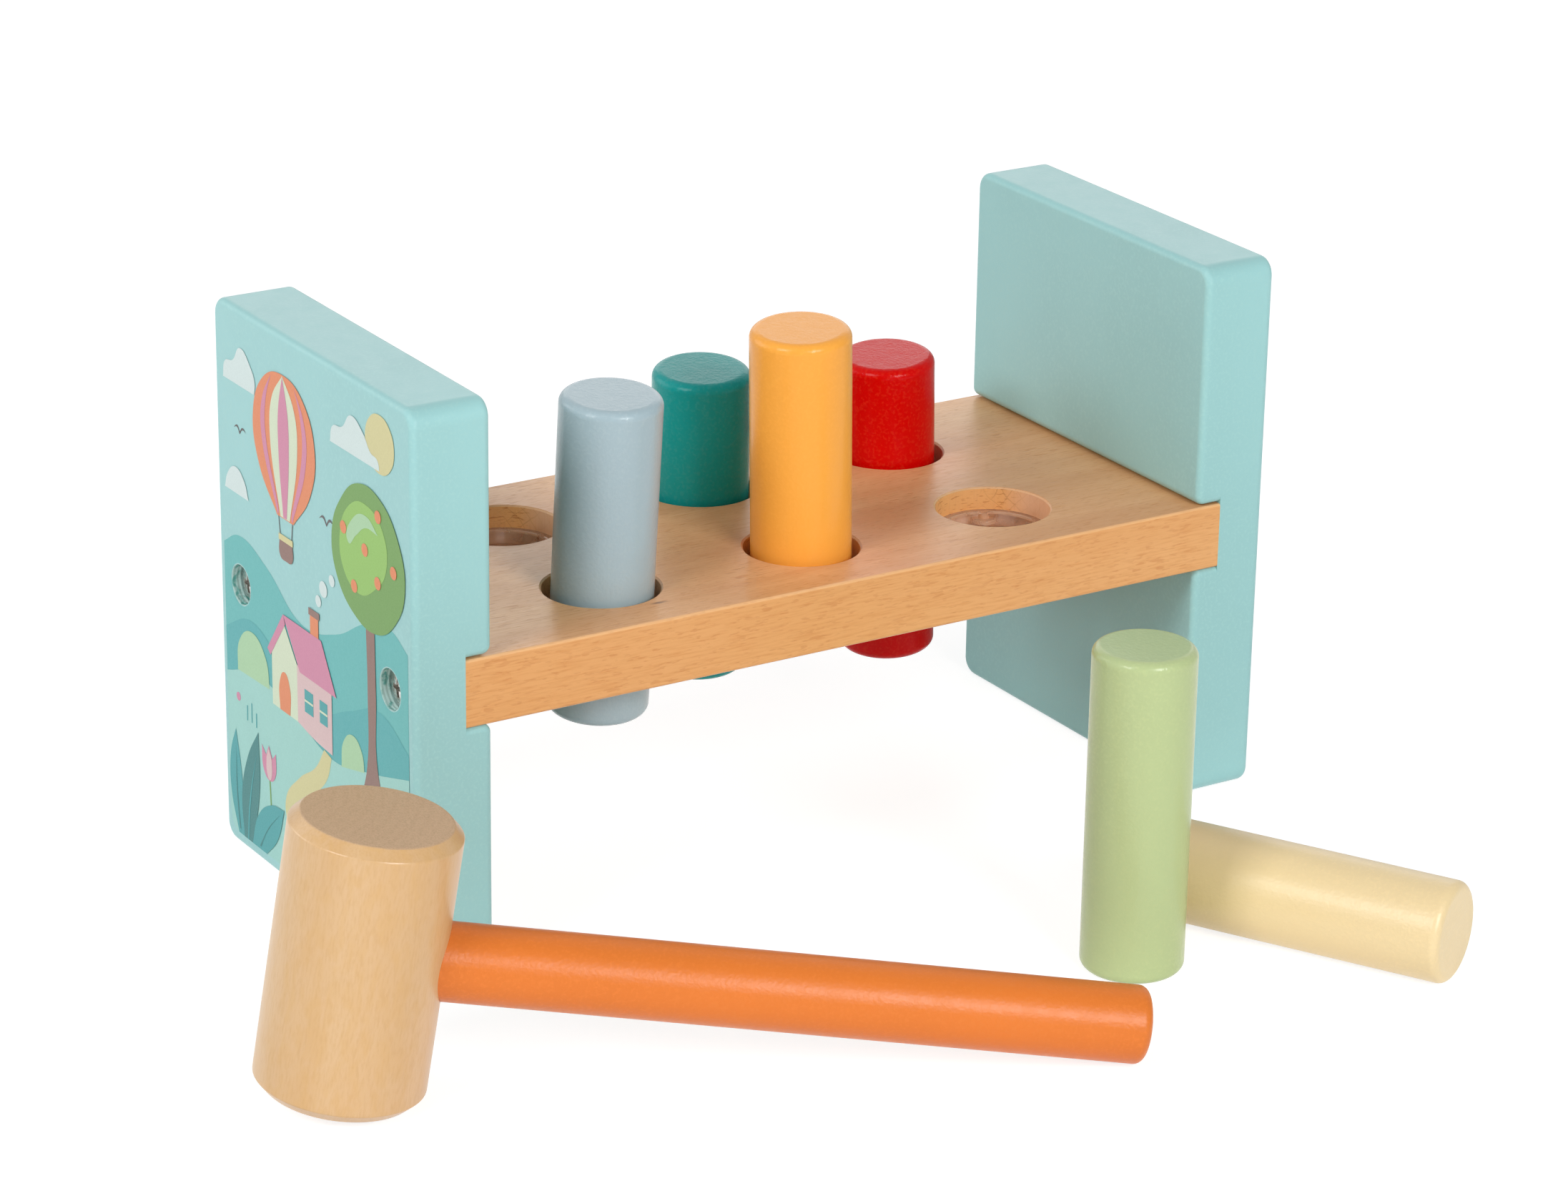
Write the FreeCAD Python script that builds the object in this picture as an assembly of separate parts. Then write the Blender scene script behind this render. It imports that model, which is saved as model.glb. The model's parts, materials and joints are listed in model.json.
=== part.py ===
import FreeCAD, Part
import math
import os

# Peg pounding bench: two end panels, a drilled board between them, a clear grip ring in every hole,
# six round pegs and a mallet. Millimetres, +Z up, the floor at z = 0.
# The bench itself is built about its own middle. The whole set is then centred on the origin.
Vector = FreeCAD.Vector

# End panels
panel_thick = 18.0
panel_width = 90.0
panel_height = 125.0
panel_corner = 4.0
panel_edge = 1.5
dado_depth = 6.2
dado_clearance = 0.3
dado_lip = 2.0

# Board between the panels
bench_length = 214.0
board_thick = 15.0
board_edge = 0.7
hole_dia = 25.5
hole_rim = 0.4
hole_pitch_x = 50.0
hole_pitch_y = 43.0
hole_columns = ["left", "middle", "right"]
hole_rows = ["back", "front"]

# Grip ring, a soft channel-shaped ring seated in a groove half way down each hole
groove_depth = 1.5
ring_height = 4.6
ring_wall = 1.0
ring_lip = 0.6
grip_clearance = 0.25
nub_count = 3
nub_post_dia = 2.6
nub_pad_dia = 5.9
nub_pad_thick = 1.0

# Pegs
peg_dia = 22.0
peg_length = 72.0
peg_round = 2.0

# Wood screws, two through each panel into the end grain of the board
sink_dia = 9.0
sink_depth = 4.0
screw_pitch = 69.0
screw_head_dia = 8.0
screw_head_height = 2.4
screw_head_dome = 0.7
screw_length = 35.0
screw_shank_dia = 3.6
screw_tip_length = 5.0
screw_panel_clearance = 0.2
screw_pilot_clearance = 0.02
recess_length = 4.4
recess_width = 1.0
recess_depth = 1.3

# Mallet
head_dia = 34.6
head_length = 58.4
head_chamfer = 2.2
head_edge = 0.6
handle_dia = 16.0
handle_reach = 159.0
handle_round = 2.0
handle_seat = 26.0
handle_fit_clearance = 0.05
chamfer_angle = 45.0

# Height of each seated peg's foot if it stood upright, then its lean about the middle of its soft ring
# and the direction it leans in, from +X
grey_foot = 41.8
grey_lean_angle = 4.2
grey_lean_heading = -86.0
teal_foot = 26.8
teal_lean_angle = 4.3
teal_lean_heading = -115.0
orange_foot = 48.8
orange_lean_angle = 4.4
orange_lean_heading = -135.0
red_foot = 21.9
red_lean_angle = 4.3
red_lean_heading = -140.0

# Places of the loose pieces, from the middle of the bench
green_x = 27.0
green_y = -110.9
cream_x = 63.0
cream_y = -119.9
cream_heading = -61.0
mallet_x = -140.5
mallet_y = -84.0
mallet_heading = -24.2

# Direction of the first nub in each hole, back row first. They differ because rings are pressed in by hand.
first_nub_angles = [14.0, 50.0, 82.0, 37.0, 98.0, 64.0]

overrun = 1.0

# Sizes that follow from those above
half_length = bench_length / 2
board_length = bench_length - 2 * (panel_thick - dado_depth)
dado_height = board_thick + dado_clearance
dado_floor = (panel_height - dado_height) / 2
board_top = dado_floor + board_thick
board_middle = dado_floor + board_thick / 2
hole_radius = hole_dia / 2
ring_outer = hole_radius + groove_depth
ring_bore = peg_dia / 2 + grip_clearance


def quarter_arc(centre, start, end):
    """Arc about a centre from one point to another a quarter turn on."""
    radius = (start - centre).Length
    bisector = (start - centre) + (end - centre)
    bisector.normalize()
    return Part.Arc(start, centre + bisector * radius, end).toShape()


def rounded_outline(width, height, corner):
    """Panel outline in the YZ plane, standing on z = 0, with rounded corners."""
    half = width / 2
    side = half - corner
    top = height - corner
    edges = [
        Part.makeLine(Vector(0, -side, 0), Vector(0, side, 0)),
        quarter_arc(Vector(0, side, corner), Vector(0, side, 0), Vector(0, half, corner)),
        Part.makeLine(Vector(0, half, corner), Vector(0, half, top)),
        quarter_arc(Vector(0, side, top), Vector(0, half, top), Vector(0, side, height)),
        Part.makeLine(Vector(0, side, height), Vector(0, -side, height)),
        quarter_arc(Vector(0, -side, top), Vector(0, -side, height), Vector(0, -half, top)),
        Part.makeLine(Vector(0, -half, top), Vector(0, -half, corner)),
        quarter_arc(Vector(0, -side, corner), Vector(0, -half, corner), Vector(0, -side, 0)),
    ]
    return Part.Face(Part.Wire(edges))


def dado_profile():
    """Side profile of a panel in XZ: the dado is open towards +X, with rounded lips."""
    face = panel_thick
    floor = panel_thick - dado_depth
    lip = panel_thick - dado_lip
    low = dado_floor
    high = dado_floor + dado_height
    y = -panel_width
    edges = [
        Part.makeLine(Vector(0, y, -overrun), Vector(face, y, -overrun)),
        Part.makeLine(Vector(face, y, -overrun), Vector(face, y, low - dado_lip)),
        quarter_arc(Vector(lip, y, low - dado_lip), Vector(face, y, low - dado_lip), Vector(lip, y, low)),
        Part.makeLine(Vector(lip, y, low), Vector(floor, y, low)),
        Part.makeLine(Vector(floor, y, low), Vector(floor, y, high)),
        Part.makeLine(Vector(floor, y, high), Vector(lip, y, high)),
        quarter_arc(Vector(lip, y, high + dado_lip), Vector(lip, y, high), Vector(face, y, high + dado_lip)),
        Part.makeLine(Vector(face, y, high + dado_lip), Vector(face, y, panel_height + overrun)),
        Part.makeLine(Vector(face, y, panel_height + overrun), Vector(0, y, panel_height + overrun)),
        Part.makeLine(Vector(0, y, panel_height + overrun), Vector(0, y, -overrun)),
    ]
    return Part.Face(Part.Wire(edges)).extrude(Vector(0, 2 * panel_width, 0))


def panel_blank():
    """Left panel with its dado: every edge of the outer and inner faces is rounded, lips included."""
    plate = rounded_outline(panel_width, panel_height, panel_corner).extrude(Vector(panel_thick, 0, 0))
    body = plate.common(dado_profile()).Solids[0]
    small = panel_edge / 100
    rounded = []
    for edge in body.Edges:
        box = edge.BoundBox
        on_outer_face = box.XMax < small
        on_inner_face = box.XMin > panel_thick - small
        along_dado = box.YLength > panel_width / 2 and box.ZMin > small and box.ZMax < panel_height - small
        if on_outer_face or (on_inner_face and not along_dado):
            rounded.append(edge)
    return body.makeFillet(panel_edge, rounded)


def left_panel():
    panel = panel_blank()
    through_radius = screw_shank_dia / 2 + screw_panel_clearance
    for y in (-screw_pitch / 2, screw_pitch / 2):
        start = Vector(-overrun, y, board_middle)
        sink = Part.makeCylinder(sink_dia / 2, sink_depth + overrun, start, Vector(1, 0, 0))
        through = Part.makeCylinder(through_radius, panel_thick, start, Vector(1, 0, 0))
        panel = panel.cut(sink).cut(through)
    panel.translate(Vector(-half_length, 0, 0))
    return panel


def mirrored(shape):
    """The same piece at the other end of the bench."""
    return shape.mirror(Vector(0, 0, 0), Vector(1, 0, 0))


def hole_places():
    """Where each hole stands, by the name of its row and column."""
    places = {}
    for row, row_name in enumerate(hole_rows):
        for column, column_name in enumerate(hole_columns):
            x = (column - (len(hole_columns) - 1) / 2) * hole_pitch_x
            y = ((len(hole_rows) - 1) / 2 - row) * hole_pitch_y
            places[row_name + "_" + column_name] = Vector(x, y, 0)
    return places


def revolved(points):
    """Solid of revolution about Z from a closed outline of (radius, height) points."""
    corners = [Vector(r, 0, z) for r, z in points]
    wire = Part.makePolygon(corners + [corners[0]])
    return Part.Face(wire).revolve(Vector(0, 0, 0), Vector(0, 0, 1), 360)


def hole_cutter():
    """One peg hole: bore, softened rims and the groove that holds the ring."""
    low = dado_floor
    high = board_top
    groove_low = board_middle - ring_height / 2
    groove_high = board_middle + ring_height / 2
    rim = hole_radius + hole_rim
    outline = [
        (0, low - overrun),
        (rim, low - overrun),
        (rim, low),
        (hole_radius, low + hole_rim),
        (hole_radius, groove_low),
        (ring_outer, groove_low),
        (ring_outer, groove_high),
        (hole_radius, groove_high),
        (hole_radius, high - hole_rim),
        (rim, high),
        (rim, high + overrun),
        (0, high + overrun),
    ]
    return revolved(outline)


def bench_board():
    corner = Vector(-board_length / 2, -panel_width / 2, dado_floor)
    board = Part.makeBox(board_length, panel_width, board_thick, corner)
    long_edges = [edge for edge in board.Edges if edge.BoundBox.XLength > board_length / 2]
    board = board.makeFillet(board_edge, long_edges)
    for place in hole_places().values():
        cutter = hole_cutter()
        cutter.translate(place)
        board = board.cut(cutter)
    pilot_radius = screw_shank_dia / 2 + screw_pilot_clearance
    pilot_depth = screw_length + sink_depth - (panel_thick - dado_depth)
    for side in (-1, 1):
        for y in (-screw_pitch / 2, screw_pitch / 2):
            start = Vector(side * board_length / 2, y, board_middle)
            pilot = Part.makeCylinder(pilot_radius, pilot_depth, start, Vector(-side, 0, 0))
            board = board.cut(pilot)
    return board


def grip_ring(place, first_nub):
    """Channel-shaped ring: outer wall in the groove, two thin lips and three nubs that grip the peg."""
    low = board_middle - ring_height / 2
    high = board_middle + ring_height / 2
    outer = ring_outer
    wall = outer - ring_wall
    outline = [
        (ring_bore, low),
        (outer, low),
        (outer, high),
        (ring_bore, high),
        (ring_bore, high - ring_lip),
        (wall, high - ring_lip),
        (wall, low + ring_lip),
        (ring_bore, low + ring_lip),
    ]
    ring = revolved(outline)
    reach = ring_bore + nub_post_dia / 2
    nubs = []
    for step in range(nub_count):
        angle = math.radians(first_nub + step * 360 / nub_count)
        centre = Vector(reach * math.cos(angle), reach * math.sin(angle), 0)
        foot = centre + Vector(0, 0, low)
        pad_foot = centre + Vector(0, 0, board_middle - nub_pad_thick / 2)
        nubs.append(Part.makeCylinder(nub_post_dia / 2, ring_height, foot, Vector(0, 0, 1)))
        nubs.append(Part.makeCylinder(nub_pad_dia / 2, nub_pad_thick, pad_foot, Vector(0, 0, 1)))
    limit = Part.makeCylinder(outer, ring_height, Vector(0, 0, low), Vector(0, 0, 1))
    bore = Part.makeCylinder(ring_bore, panel_height, Vector(0, 0, 0), Vector(0, 0, 1))
    ring = ring.fuse(nubs).common(limit).cut(bore).removeSplitter()
    ring.translate(place)
    return ring


def round_edges(rod):
    return [edge for edge in rod.Edges if isinstance(edge.Curve, Part.Circle)]


def rounded_rod(radius, length, rounding):
    """Round rod along +Z from the origin, with both ends rounded over."""
    rod = Part.makeCylinder(radius, length)
    return rod.makeFillet(rounding, round_edges(rod))


def standing_peg(x, y, foot):
    peg = rounded_rod(peg_dia / 2, peg_length, peg_round)
    peg.translate(Vector(x, y, foot))
    return peg


def seated_peg(hole, foot, lean_angle, lean_heading):
    """Peg held half way down its hole by the soft ring, where it can lean a little."""
    place = hole_places()[hole]
    peg = standing_peg(place.x, place.y, foot)
    turn = math.radians(lean_heading)
    hinge = Vector(-math.sin(turn), math.cos(turn), 0)
    peg.rotate(place + Vector(0, 0, board_middle), hinge, lean_angle)
    return peg


def lying_peg(x, y, heading):
    peg = rounded_rod(peg_dia / 2, peg_length, peg_round)
    peg.translate(Vector(0, 0, -peg_length / 2))
    peg.rotate(Vector(0, 0, 0), Vector(0, 1, 0), 90)
    peg.rotate(Vector(0, 0, 0), Vector(0, 0, 1), heading)
    peg.translate(Vector(x, y, peg_dia / 2))
    return peg


def wood_screw(y):
    """Left-hand screw along +X: domed head with a cross recess, plain shank and pointed tip."""
    head = screw_head_dia / 2
    shank = screw_shank_dia / 2
    top = screw_head_height
    arc_middle = Vector(head / math.sqrt(2), 0, top - screw_head_dome / 2)
    outline = [
        Part.makeLine(Vector(0, 0, -screw_length), Vector(shank, 0, screw_tip_length - screw_length)),
        Part.makeLine(Vector(shank, 0, screw_tip_length - screw_length), Vector(shank, 0, 0)),
        Part.makeLine(Vector(shank, 0, 0), Vector(head, 0, 0)),
        Part.makeLine(Vector(head, 0, 0), Vector(head, 0, top - screw_head_dome)),
        Part.Arc(Vector(head, 0, top - screw_head_dome), arc_middle, Vector(0, 0, top)).toShape(),
        Part.makeLine(Vector(0, 0, top), Vector(0, 0, -screw_length)),
    ]
    screw = Part.Face(Part.Wire(outline)).revolve(Vector(0, 0, 0), Vector(0, 0, 1), 360)
    for turn in (0, 90):
        slot = Part.makeBox(
            recess_length, recess_width, recess_depth + overrun,
            Vector(-recess_length / 2, -recess_width / 2, top - recess_depth))
        slot.rotate(Vector(0, 0, 0), Vector(0, 0, 1), turn)
        screw = screw.cut(slot)
    screw.rotate(Vector(0, 0, 0), Vector(0, 1, 0), -90)
    screw.translate(Vector(sink_depth - half_length, y, board_middle))
    return screw


def head_edge_middle():
    """Middle of the small rounding where the end face meets the chamfer, from the head's own middle."""
    inset = head_edge * math.tan(math.radians(chamfer_angle / 2))
    return head_dia / 2 - head_chamfer - inset, head_length / 2 - head_edge


def mallet_tilt():
    """Lean in degrees at which the head's lower edge and the handle's end both touch the floor."""
    edge_x, edge_z = head_edge_middle()
    along = (handle_reach - handle_round) - edge_x
    down = edge_z - (handle_dia / 2 - handle_round)
    offset = head_edge - handle_round
    lean = math.atan2(down, along) + math.asin(offset / math.hypot(along, down))
    return math.degrees(lean)


def place_mallet(shape):
    """Lean a mallet piece towards the handle, turn it to its heading and stand it on the floor."""
    lean = math.radians(mallet_tilt())
    edge_x, edge_z = head_edge_middle()
    height = edge_x * math.sin(lean) + edge_z * math.cos(lean) + head_edge
    shape.rotate(Vector(0, 0, 0), Vector(0, 1, 0), mallet_tilt())
    shape.rotate(Vector(0, 0, 0), Vector(0, 0, 1), mallet_heading)
    shape.translate(Vector(mallet_x, mallet_y, height))
    return shape


def mallet_head():
    """Round billet with a chamfer at both ends, its edges eased, and a bore for the handle."""
    head = Part.makeCylinder(head_dia / 2, head_length)
    head = head.makeChamfer(head_chamfer, round_edges(head))
    head = head.makeFillet(head_edge, round_edges(head))
    head.translate(Vector(0, 0, -head_length / 2))
    start = Vector(head_dia / 2 - handle_seat, 0, 0)
    bore = Part.makeCylinder(handle_dia / 2 + handle_fit_clearance, head_dia, start, Vector(1, 0, 0))
    return place_mallet(head.cut(bore))


def mallet_handle():
    start = head_dia / 2 - handle_seat
    handle = Part.makeCylinder(handle_dia / 2, handle_reach - start)
    free_end = [edge for edge in handle.Edges if edge.BoundBox.ZMin > handle_reach / 2]
    handle = handle.makeFillet(handle_round, free_end)
    handle.rotate(Vector(0, 0, 0), Vector(0, 1, 0), 90)
    handle.translate(Vector(start, 0, 0))
    return place_mallet(handle)


def build_pieces():
    pieces = {}
    panel = left_panel()
    pieces["left_panel"] = panel
    pieces["right_panel"] = mirrored(panel)
    pieces["bench_board"] = bench_board()
    for (hole, place), angle in zip(hole_places().items(), first_nub_angles):
        pieces["grip_ring_" + hole] = grip_ring(place, angle)
    for name, y in (("front", -screw_pitch / 2), ("back", screw_pitch / 2)):
        screw = wood_screw(y)
        pieces["screw_left_" + name] = screw
        pieces["screw_right_" + name] = mirrored(screw)
    pieces["peg_grey"] = seated_peg("front_left", grey_foot, grey_lean_angle, grey_lean_heading)
    pieces["peg_orange"] = seated_peg("front_middle", orange_foot, orange_lean_angle, orange_lean_heading)
    pieces["peg_teal"] = seated_peg("back_middle", teal_foot, teal_lean_angle, teal_lean_heading)
    pieces["peg_red"] = seated_peg("back_right", red_foot, red_lean_angle, red_lean_heading)
    pieces["peg_green"] = standing_peg(green_x, green_y, 0)
    pieces["peg_cream"] = lying_peg(cream_x, cream_y, cream_heading)
    pieces["mallet_head"] = mallet_head()
    pieces["mallet_handle"] = mallet_handle()
    return pieces


def set_centre(pieces):
    """Middle of the set's footprint, measured from the middle of the bench."""
    box = FreeCAD.BoundBox()
    for shape in pieces.values():
        box.add(shape.optimalBoundingBox(False))
    return Vector((box.XMin + box.XMax) / 2, (box.YMin + box.YMax) / 2, 0)


pieces = build_pieces()
centre = set_centre(pieces)
os.makedirs("parts", exist_ok=True)
for name, shape in pieces.items():
    shape.translate(centre * -1)
    shape.exportStep(os.path.join("parts", name + ".step"))
print("pieces", len(pieces), "bench middle at", round(-centre.x, 3), round(-centre.y, 3))
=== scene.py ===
import bpy, bmesh, json, math
from mathutils import Euler, Matrix, Vector

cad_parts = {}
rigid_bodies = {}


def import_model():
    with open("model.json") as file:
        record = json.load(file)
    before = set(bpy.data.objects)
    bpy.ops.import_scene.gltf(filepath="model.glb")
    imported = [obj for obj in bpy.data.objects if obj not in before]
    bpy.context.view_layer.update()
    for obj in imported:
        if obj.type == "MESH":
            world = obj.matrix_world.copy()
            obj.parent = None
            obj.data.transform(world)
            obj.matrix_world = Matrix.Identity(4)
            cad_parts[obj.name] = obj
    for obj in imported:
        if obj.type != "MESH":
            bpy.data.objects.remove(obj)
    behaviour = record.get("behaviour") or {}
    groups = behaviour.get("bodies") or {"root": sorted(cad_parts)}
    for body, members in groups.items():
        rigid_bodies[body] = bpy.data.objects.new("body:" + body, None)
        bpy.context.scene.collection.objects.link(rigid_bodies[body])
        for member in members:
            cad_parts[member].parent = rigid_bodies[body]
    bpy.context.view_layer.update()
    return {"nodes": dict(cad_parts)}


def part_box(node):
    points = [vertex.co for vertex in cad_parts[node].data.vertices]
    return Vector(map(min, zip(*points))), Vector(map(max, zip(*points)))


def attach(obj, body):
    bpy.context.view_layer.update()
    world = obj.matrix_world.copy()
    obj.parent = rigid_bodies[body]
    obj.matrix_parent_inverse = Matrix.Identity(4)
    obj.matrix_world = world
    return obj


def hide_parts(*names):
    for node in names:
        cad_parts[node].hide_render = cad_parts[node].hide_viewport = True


for leftover in list(bpy.data.objects):
    bpy.data.objects.remove(leftover)
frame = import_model()
nodes = frame["nodes"]
scene = bpy.context.scene
mm = 0.001


def middleOf(node):
    low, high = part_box(node)
    return (low + high) / 2


boardMiddle = middleOf("bench_board")
print("frame loaded:", len(nodes), "solids")


# colours

def shade(red, green, blue):  # 0-255 screen values to the linear ones that shaders take
    linear = []
    for value in (red, green, blue):
        value = value / 255
        linear.append(value / 12.92 if value <= 0.04045 else ((value + 0.055) / 1.055) ** 2.4)
    return (*linear, 1)


def scaled(colour, share):
    return (*(min(1, c * share) for c in colour[:3]), 1)


white = (1, 1, 1, 1)


# small tools for node trees

def addNode(tree, kind, inputs=None, **settings):
    node = tree.nodes.new(kind)
    for key, value in settings.items():
        setattr(node, key, value)
    for key, value in (inputs or {}).items():
        if isinstance(value, bpy.types.NodeSocket):
            tree.links.new(value, node.inputs[key])
        else:
            node.inputs[key].default_value = value
    return node


def newMaterial(name, constants):
    material = bpy.data.materials.new(name)
    material.use_nodes = True
    shader = material.node_tree.nodes["Principled BSDF"]
    for key, value in constants.items():
        shader.inputs[key].default_value = value
    return material, material.node_tree, shader


def wire(tree, shader, tone, rough, normal):
    for key, value in (("Base Color", tone), ("Roughness", rough), ("Normal", normal)):
        tree.links.new(value, shader.inputs[key])


def sourceOf(shader, key):
    return shader.inputs[key].links[0].from_socket


upright = (0, 0, 0)


def piecePlace(tree, centre, turn=upright):  # object coordinates, centred on a piece and turned with it
    coordinates = addNode(tree, "ShaderNodeTexCoord")
    inputs = {"Vector": coordinates.outputs["Object"], "Location": centre, "Rotation": turn}
    return addNode(tree, "ShaderNodeMapping", inputs, vector_type="TEXTURE").outputs[0]


def split(tree, vector):
    return addNode(tree, "ShaderNodeSeparateXYZ", {0: vector}).outputs


def noiseOf(tree, place, perMetre, detail=2.0, roughness=0.5, distortion=0.0):
    stretched = addNode(tree, "ShaderNodeVectorMath", {0: place, 1: perMetre}, operation="MULTIPLY").outputs[0]
    inputs = {"Vector": stretched, "Scale": 1, "Detail": detail, "Roughness": roughness, "Distortion": distortion}
    return addNode(tree, "ShaderNodeTexNoise", inputs).outputs["Fac"]


def rangeOf(tree, value, low, high, toLow=0.0, toHigh=1.0):
    inputs = {"Value": value, "From Min": low, "From Max": high, "To Min": toLow, "To Max": toHigh}
    return addNode(tree, "ShaderNodeMapRange", inputs).outputs["Result"]


def layersOf(tree, place, look):  # a look's tones, its noises, and the same noises cut to their levels
    tones = {key: shade(*screen) for key, screen in look["tones"].items()}
    noise = {key: noiseOf(tree, place, *settings) for key, settings in look["noise"].items()}
    masks = {key: rangeOf(tree, noise[key], *levels) for key, levels in look["levels"].items()}
    return tones, noise, masks


def mathOf(tree, operation, first, second=0.0):
    return addNode(tree, "ShaderNodeMath", {0: first, 1: second}, operation=operation).outputs[0]


def times(tree, first, second):
    return mathOf(tree, "MULTIPLY", first, second)


def absolute(tree, value):
    return mathOf(tree, "ABSOLUTE", value)


def lengthOf(tree, first, second):
    squares = [mathOf(tree, "POWER", side, 2) for side in (first, second)]
    return mathOf(tree, "SQRT", mathOf(tree, "ADD", *squares))


def waveOf(tree, value, pitch):
    return mathOf(tree, "SINE", times(tree, value, 2 * math.pi / pitch))


def mixValue(tree, factor, first, second):
    return addNode(tree, "ShaderNodeMix", {0: factor, 2: first, 3: second}).outputs[0]


def mixColour(tree, factor, first, second):
    inputs = {0: factor, 6: first, 7: second}
    return addNode(tree, "ShaderNodeMix", inputs, data_type="RGBA").outputs[2]


def bumpOf(tree, height, depth, below=None):
    inputs = {"Height": height, "Distance": depth, "Strength": 1}
    if below is not None:
        inputs["Normal"] = below
    return addNode(tree, "ShaderNodeBump", inputs).outputs[0]


def dress(node, material):
    nodes[node].material_slots[0].material = material


# In each look below, tones are screen colours, and a noise is its rate per metre along X, Y and Z,
# its detail, its roughness and its distortion. Levels are the span of the noise that shows, and
# what the ends of that span become where that isn't 0 and 1. Lengths are in metres.


# satin paint, on the pegs, the mallet's handle and the panels

# The denoiser is only told of shine rougher than about 0.275, so a roughness that wanders across
# that value comes out blotched: each painted piece stays below it or above it.
creamTurn = (0, math.radians(90), math.radians(-61))
malletTurn = (0, math.radians(8.55), math.radians(-24.2))
paint = {
    "turn": upright,
    "roughness": 0.3,
    "roughnessSpan": 0.06,
    "specular": 0.22,
    "noise": {
        "drift": ((28, 28, 14), 3),
        "grain": ((1500, 1500, 60), 1),
        "peel": ((1400, 1400, 1400), 1),
        "ripple": ((330, 330, 330), 2),
    },
    "levels": {
        "drift": (0.3, 0.7),
        "grain": (0.62, 0.78, 0, 0.16),
        "peel": (0.5, 0.68),
    },
    "rippleLevels": (0.3, 0.7),
    "drift": 0.02,                    # share by which the tone wanders over a piece
    "warmth": (0.016, 0.011, 0.004),  # light scatters a little more on the peel's crests
    "grainDepth": 0.00001,
    "rippleDepth": 0.00003,
    "peelDepth": 0.00004,
}


def satinPaint(name, node, look):
    look = {**paint, **look}
    material, tree, shader = newMaterial(name, {"Specular IOR Level": look["specular"]})
    place = piecePlace(tree, middleOf(node), look["turn"])
    tones, noise, masks = layersOf(tree, place, look)
    colour = tones["paint"]
    darker = scaled(colour, 1 - 2 * look["drift"])
    lighter = scaled(colour, 1 + look["drift"])
    warmer = (*(min(1, c + more) for c, more in zip(colour, look["warmth"])), 1)
    tone = mixColour(tree, masks["drift"], darker, lighter)
    tone = mixColour(tree, masks["grain"], tone, darker)
    tone = mixColour(tree, masks["peel"], tone, warmer)
    smoothest = look["roughness"]
    rough = rangeOf(tree, noise["ripple"], *look["rippleLevels"], smoothest, smoothest + look["roughnessSpan"])
    normal = None
    for layer in ("grain", "ripple", "peel"):
        normal = bumpOf(tree, noise[layer], look[layer + "Depth"] * look["relief"], normal)
    wire(tree, shader, tone, rough, normal)
    return material, tree, shader, place


alongGrain = {**paint["noise"], "grain": ((60, 1500, 1500), 1)}
paintedLooks = {  # relief is how strongly the grain, ripple and orange peel stand out
    "peg_grey": {"tones": {"paint": (170, 191, 199)}, "relief": 1.5, "roughness": 0.21, "specular": 0.3},
    "peg_teal": {"tones": {"paint": (26, 158, 155)}, "relief": 1.6, "roughness": 0.2, "specular": 0.16},
    "peg_orange": {"tones": {"paint": (255, 174, 71)}, "relief": 1.1, "roughness": 0.21, "specular": 0.24},
    "peg_red": {"tones": {"paint": (211, 3, 1)}, "relief": 1.7, "roughness": 0.19, "specular": 0.13},
    "peg_green": {"tones": {"paint": (186, 202, 147)}, "relief": 1.4, "roughness": 0.21, "specular": 0.3},
    "peg_cream": {
        "tones": {"paint": (243, 218, 168)}, "relief": 1.4, "roughness": 0.33, "specular": 0.55, "turn": creamTurn,
    },
    "mallet_handle": {
        "tones": {"paint": (228, 123, 45)}, "relief": 1.3, "roughness": 0.35, "specular": 0.36,
        "turn": malletTurn, "noise": alongGrain,
    },
}
for node, look in paintedLooks.items():
    dress(node, satinPaint(node.split("_")[1] + "SatinPaint", node, look)[0])
print("pegs and handle painted")


# turquoise panels, with glossy runs of paint and drill rings in the screw sinks, whose paint is lighter than the
# panel's as painted light in the recess

panel = {
    "tones": {"paint": (161, 210, 210)},
    "relief": 0.5,
    "sink": {
        # the sinks' paint, lighter than the panel's as painted light against the recess's shade, with darker
        # pooled runs
        "tones": {"thin": (196, 226, 222), "pooled": (104, 178, 170)},
        "noise": {"runs": ((700, 500, 500), 2)},
        "levels": {"runs": (0.5, 0.66)},
        "radius": 0.0046,
        "pitch": 0.069,
        "floor": 0.0045,       # from the panel's middle, along the screw
        "roughness": 0.14,
        "ringPitch": 0.0009,
        "ringDepth": 0.00005,
        "runsHeight": 3,       # against the drill rings
    },
}


def panelPaint(node):
    sink = panel["sink"]
    material, tree, shader, place = satinPaint(node.replace("_", "") + "Paint", node, panel)
    tones, noise, masks = layersOf(tree, place, sink)
    spot = split(tree, place)
    aside = mathOf(tree, "SUBTRACT", absolute(tree, spot["Y"]), sink["pitch"] / 2)
    lift = mathOf(tree, "SUBTRACT", spot["Z"], boardMiddle.z - middleOf(node).z)
    inReach = mathOf(tree, "LESS_THAN", lengthOf(tree, aside, lift), sink["radius"])
    inSink = times(tree, inReach, mathOf(tree, "GREATER_THAN", absolute(tree, spot["X"]), sink["floor"]))
    # painted light: the sinks' paint is lighter than the panel's, against the shade in the recess
    pooled = mixColour(tree, masks["runs"], tones["thin"], tones["pooled"])
    tone = mixColour(tree, inSink, sourceOf(shader, "Base Color"), pooled)
    rough = mixValue(tree, inSink, sourceOf(shader, "Roughness"), sink["roughness"])
    runs = times(tree, noise["runs"], sink["runsHeight"])
    ridges = mathOf(tree, "ADD", waveOf(tree, spot["X"], sink["ringPitch"]), runs)
    normal = bumpOf(tree, times(tree, inSink, ridges), sink["ringDepth"], sourceOf(shader, "Normal"))
    wire(tree, shader, tone, rough, normal)
    return material


for node in ("left_panel", "right_panel"):
    dress(node, panelPaint(node))
print("panels painted")


# steamed beech board under clear satin lacquer

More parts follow.
